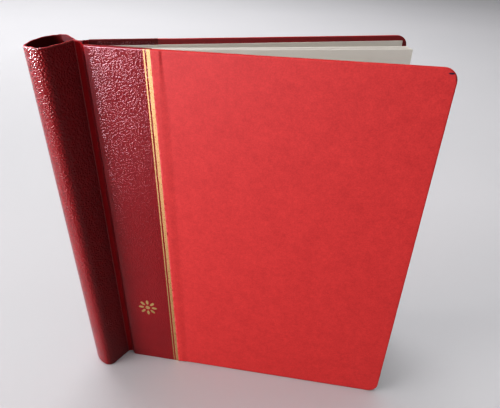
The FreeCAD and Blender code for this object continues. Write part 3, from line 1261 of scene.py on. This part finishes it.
def margin_group():
    inputs = {"Leaves": "Int", "Pitch": "Float", "Margin": "Vector", "First": "Vector"}
    group, (leaves, pitch, size, first) = node_group("margin_stack", inputs)
    step_out = leaves.node("ShaderNodeCombineXYZ", {}, {"Y": pitch})
    line = {"Count": leaves, "Start Location": first, "Offset": step_out}
    row = leaves.node("GeometryNodeMeshLine", {}, line)
    card = leaves.node("GeometryNodeMeshCube", {}, {"Size": size, **margin_cuts})
    stack = leaves.node("GeometryNodeInstanceOnPoints", {}, {"Points": row, "Instance": card})
    return close_group(group, stack, leaf_card)


margin_low, margin_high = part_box("leaf_margins")
margin_size = margin_high - margin_low
margin_middle = (margin_low + margin_high) / 2
margin_pitch = (margin_size.y - leaf_gauge) / (len(leaf_names) - 1)
margin_mesh = grown(margin_group(), "margin_stack", {
    "Leaves": len(leaf_names),
    "Pitch": margin_pitch,
    "Margin": (margin_size.x, leaf_gauge, margin_size.z),
    "First": Vector((margin_middle.x, margin_low.y + leaf_gauge / 2, margin_middle.z)),
})
margins = finished(margin_mesh, "margin_stack", leaf_card)
carried(margins, "spine", "leaf_margins", "leaf_paper")
print("pitch:", round(margin_pitch / MM, 3), "mm")

# %% [markdown]
# ## Rosette
# A small gilt ornament stands near the tail of the front leather: eight petals round a dot, a
# bookbinder's common stamp. It could be drawn whole as a curve, but its petals are all alike. So one
# petal, a filled oval with the foil's thickness, is instanced round a circle, and the finished mesh is
# turned and set on the cover.

# %% Rosette tree
weld = 0.001 * MM
oval_points = 28
dot_points = 32


def plate(curve, gauge):
    """A closed plate of the foil's thickness from a closed curve."""
    face = curve.node("GeometryNodeFillCurve", {"mode": "NGONS"}, {0: curve})
    lift = {"Mesh": face, "Offset Scale": gauge, "Individual": False}
    raised = curve.node("GeometryNodeExtrudeMesh", {}, lift)
    back = curve.node("GeometryNodeFlipFaces", {}, {0: face})
    shell = gathered(raised, back)
    return curve.node("GeometryNodeMergeByDistance", {}, {"Geometry": shell, "Distance": weld})


def rosette_group():
    inputs = {"Petals": "Int", "Ring": "Float", "Petal size": "Vector", "Eye": "Float", "Foil": "Float"}
    group, (petals, ring, size, eye, foil) = node_group("rosette", inputs)
    unit = petals.node("GeometryNodeCurvePrimitiveCircle", {}, {"Resolution": oval_points, "Radius": 1.0})
    oval = petals.node("GeometryNodeTransform", {}, {"Geometry": unit, "Scale": size})
    points = petals.node("GeometryNodeMeshCircle", {}, {"Vertices": petals, "Radius": ring})
    turn = petals.node("GeometryNodeInputIndex") * (2 * math.pi) / petals
    facing = petals.node("ShaderNodeCombineXYZ", {}, {"Z": turn})
    instances = {"Points": points, "Instance": plate(oval, foil), "Rotation": facing}
    around = petals.node("GeometryNodeInstanceOnPoints", {}, instances)
    dot = petals.node("GeometryNodeCurvePrimitiveCircle", {}, {"Resolution": dot_points, "Radius": eye})
    return close_group(group, gathered(around, plate(dot, foil)), gold_foil)


rosette_tree = rosette_group()
print("rosette tree:", len(rosette_tree.nodes), "nodes")

# %% Rosette
petal_count = 8
petal_root = 3.8 * MM
petal_half_width = 1.3 * MM
eye_radius = 2.2 * MM
ornament_across, ornament_deep, ornament_high = cover_span("front", "ornament")
tip_radius = (ornament_across[1] - ornament_across[0]) / 2
rosette_mesh = grown(rosette_tree, "rosette", {
    "Petals": petal_count,
    "Ring": (tip_radius + petal_root) / 2,
    "Petal size": ((tip_radius - petal_root) / 2, petal_half_width, 1.0),
    "Eye": eye_radius,
    "Foil": foil_gauge,
})
across_axis, outward_axis = cover_axes("front")
rosette_turn = Matrix((across_axis, UP, outward_axis)).transposed().to_4x4()
rosette_place = Vector((sum(ornament_across) / 2, ornament_deep[0], sum(ornament_high) / 2))
rosette_mesh.transform(Matrix.Translation(cover_rule("front")(rosette_place)) @ rosette_turn)
rosette = finished(rosette_mesh, "front_rosette", gold_foil)
carried(rosette, "front_cover", "front_ornament", "gilt")
print("rosette:", round(2 * tip_radius / MM, 1), "mm across")

# %% [markdown]
# ## Pieces that keep their CAD shape
# The boards, the jaws' cheeks and the cloth on the lips are already the right shape. They could be made
# again, but a CAD node rides on its body as it is, so they only get a finish.

# %% Carried-over nodes
kept_finishes = {"board": grey_board, "jaw_cheek": joint_cloth, "lip_binding": joint_cloth}
for side in SIDES:
    for piece, material in kept_finishes.items():
        node = frame["nodes"][side + "_" + piece]
        node.data.materials.clear()
        node.data.materials.append(material)
print("finishes on", len(SIDES) * len(kept_finishes), "CAD nodes")

# %% [markdown]
# ## Floor and backdrop
# The album stands on a pale table in a bright room. A curved sweep would hide the meeting of floor and
# wall, but a floor that runs out to a pale ring is enough. The ring glows by itself and neither lights
# the album nor shades it, so that the lights alone model its shape.


# %% Studio finishes
def floor_finish():
    material, surface, place = new_finish("pale_floor", reads_flat_place=False)
    colours(noise(place, 0.4), srgb(186, 185, 187), srgb(192, 190, 192)).feed(surface["Base Color"])
    surface["Roughness"].default_value = 0.55
    return material


def backdrop_finish():
    material, surface, place = new_finish("pale_backdrop", reads_flat_place=False)
    surface["Base Color"].default_value = (0.0, 0.0, 0.0, 1.0)
    surface["Roughness"].default_value = 1.0
    surface["Specular IOR Level"].default_value = 0.0
    glow = colours(noise(place, 1.5, 1.0), srgb(206, 206, 210), srgb(210, 210, 213))
    glow.feed(surface["Emission Color"])
    surface["Emission Strength"].default_value = 1.0
    return material


pale_floor = floor_finish()
pale_backdrop = backdrop_finish()
print("studio finishes:", pale_floor.name, pale_backdrop.name)

# %% Floor and backdrop
half_floor = 4.6
floor_drop = 0.05 * MM
album = [piece for piece in scene.objects if piece.type == "MESH"]


def staged(name, mesh, material):
    """A piece of the studio, which isn't part of the album."""
    mesh.materials.append(material)
    piece = bpy.data.objects.new(name, mesh)
    scene.collection.objects.link(piece)
    return piece


floor_mesh = bpy.data.meshes.new("floor")
floor_signs = ((-1, -1), (1, -1), (1, 1), (-1, 1))
floor_corners = [(x * half_floor, y * half_floor, -floor_drop) for x, y in floor_signs]
floor_mesh.from_pydata(floor_corners, [], [(0, 1, 2, 3)])
floor = staged("floor", floor_mesh, pale_floor)

wall_ring = bmesh.new()
bmesh.ops.create_cone(wall_ring, segments=64, radius1=half_floor, radius2=half_floor, depth=2 * half_floor)
backdrop_mesh = bpy.data.meshes.new("backdrop")
wall_ring.to_mesh(backdrop_mesh)
wall_ring.free()
backdrop = staged("backdrop", backdrop_mesh, pale_backdrop)
backdrop.visible_diffuse = False
backdrop.visible_glossy = False
backdrop.visible_shadow = False
print("floor:", 2 * half_floor, "m square; backdrop:", len(backdrop_mesh.polygons), "faces")

# %% [markdown]
# ## Lights
# A tall window to the left, before the spine, models the round of its shoulder, and the white room
# fills the rest. One lamp for everything would burn out the floor, so the floor has lamps of its own,
# and light linking keeps most lamps to their own pieces, as a studio does with flags on stands. Two
# more lamps only glint: one on the covers' grain and gilt, one on the grain of the spine's shoulder.

# %% Lamps and flags
window_spread = math.radians(110)
cover_pieces = [piece for piece in album if piece not in spine_hides]
# Where each lamp stands, what it faces, its size in metres, its watts and its tint
lamps = {
    "window": ((-1.03, -0.26, 0.58), (0, 0, 0.2), (0.46, 0.8), 8.3, (1.0, 0.97, 0.95)),
    "floor_window": ((-2.2, -0.4, 1.7), (0.2, 0.1, 0), (1.6, 1.2), 38, (1.0, 0.99, 0.99)),
    "floor_wash": ((0, 0, 4.0), (0, 0, 0), (9.0, 9.0), 145, (1.0, 0.99, 0.99)),
    "ceiling": ((0.3, -0.1, 1.5), (0.25, 0.15, 0), (1.0, 1.0), 5, (0.98, 0.98, 1.0)),
    "far_floor": ((-1.0, 2.1, 1.9), (-0.9, 2.3, 0), (3.4, 1.8), 85, (0.97, 0.98, 1.0)),
    "glint": ((-0.84, -0.69, 0.55), (0, 0, 0.25), (0.75, 0.5), 52, (0.95, 0.86, 1.0)),
    "side_wall": ((-1.1, 0.3, 0.8), (-0.13, 0.02, 0.26), (0.4, 0.4), 220, (0.95, 0.88, 1.0)),
}
flags = {
    "window": album,
    "floor_window": [floor],
    "floor_wash": [floor],
    "glint": cover_pieces,
    "side_wall": spine_hides,
}
print("lamps with flags:", list(flags))


# %% Lights
def soft_light(name, place, target, size, power, colour):
    """A rectangular area light that faces a target and reaches only the pieces its flags leave it."""
    data = bpy.data.lights.new(name, "AREA")
    data.shape = "RECTANGLE"
    data.size, data.size_y = size
    data.energy = power
    data.color = colour
    light = bpy.data.objects.new(name, data)
    light.location = place
    light.rotation_euler = (Vector(target) - Vector(place)).to_track_quat("-Z", "Y").to_euler()
    scene.collection.objects.link(light)
    if name in flags:
        reached = bpy.data.collections.new(name + "_reaches")
        for piece in flags[name]:
            reached.objects.link(piece)
        light.light_linking.receiver_collection = reached
    return light


lights = {name: soft_light(name, *lamp) for name, lamp in lamps.items()}
lights["window"].data.spread = window_spread
lights["far_floor"].visible_glossy = False
lights["glint"].visible_diffuse = False
lights["side_wall"].visible_diffuse = False
print("lights:", list(lights))

# %% [markdown]
# ## Room and contrast
# The room's own white is only a faint fill, because a strong one would lift every shadow. A camera's
# picture has deeper darks than the plain transform gives. They could be lowered in the finished
# picture, but a curve in the scene does it for every view, and leaves the other tones nearly alone.

# %% Room and contrast
room_white = (0.95, 0.96, 1.0, 1.0)
room_strength = 0.1
tone_curve = ((0.05, 0.032), (0.25, 0.235), (0.6, 0.61))
COMBINED = 3
world = bpy.data.worlds.new("white_room")
world.use_nodes = True
background = world.node_tree.nodes["Background"].inputs
background["Color"].default_value = room_white
background["Strength"].default_value = room_strength
scene.world = world
scene.view_settings.view_transform = "Standard"
scene.view_settings.use_curve_mapping = True
contrast = scene.view_settings.curve_mapping
for tone, printed in tone_curve:
    contrast.curves[COMBINED].points.new(tone, printed)
contrast.update()
print("tones bent at", [tone for tone, printed in tone_curve])
